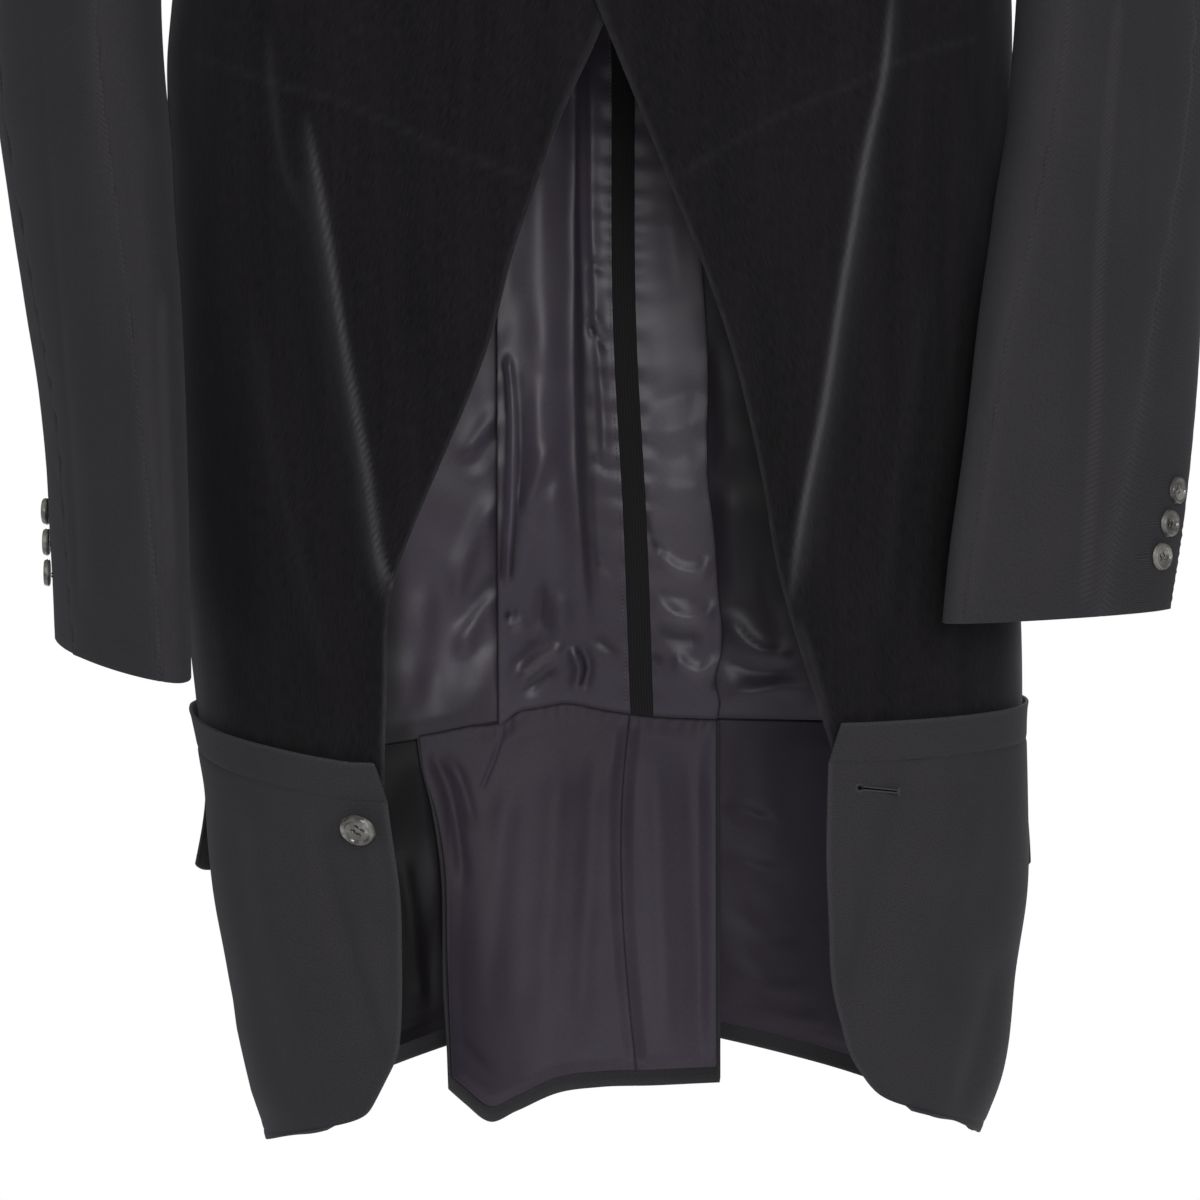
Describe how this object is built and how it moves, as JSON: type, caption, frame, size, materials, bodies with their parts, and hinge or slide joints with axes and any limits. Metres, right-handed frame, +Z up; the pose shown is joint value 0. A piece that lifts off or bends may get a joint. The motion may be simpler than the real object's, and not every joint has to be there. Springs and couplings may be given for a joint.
{
  "type": "long jacket",
  "caption": "Long hollow jacket with velvet fronts open in an A shape, wool sleeves and lower section, standing band, side flaps, satin lining and an open back skirt.",
  "frame": {"origin": "centre of the neck at the level of the shoulder neck points, where the wearer's shoulders hold the jacket", "axes": "+Z up along the body, +X to the wearer's left, -Y to the front"},
  "size_m": [0.6718, 0.2722, 0.9615],
  "materials": {
    "velvet": "cotton velvet with a short pile",
    "wool": "matt wool crepe",
    "satin": "soft satin lining",
    "tape": "matt woven tape",
    "horn": "polished mottled shell look"
  },
  "bodies": {
    "root": {"back_lining_left": "satin", "back_lining_right": "satin", "back_skirt_left": "wool", "back_skirt_right": "wool", "band_back": "wool", "band_front_left": "wool", "band_front_right": "wool", "button_closure": "horn", "button_lower": "horn", "centre_back_tape": "tape", "collar": "wool", "cuff_button_left_1": "horn", "cuff_button_left_2": "horn", "cuff_button_left_3": "horn", "cuff_button_right_1": "horn", "cuff_button_right_2": "horn", "cuff_button_right_3": "horn", "lapel_left": "velvet", "lapel_right": "velvet", "lower_front_left": "wool", "lower_front_right": "wool", "pocket_flap_left": "wool", "pocket_flap_right": "wool", "side_back_left": "wool", "side_back_lining_left": "satin", "side_back_lining_right": "satin", "side_back_right": "wool", "side_lining_left": "satin", "side_lining_right": "satin", "skirt_lining_left": "satin", "skirt_lining_right": "satin", "sleeve_elbow_left": "wool", "sleeve_elbow_right": "wool", "sleeve_front_left": "wool", "sleeve_front_right": "wool", "sleeve_under_left": "wool", "sleeve_under_right": "wool", "upper_back_left": "wool", "upper_back_right": "wool", "velvet_front_left": "velvet", "velvet_front_right": "velvet"}
  },
  "joints": []
}
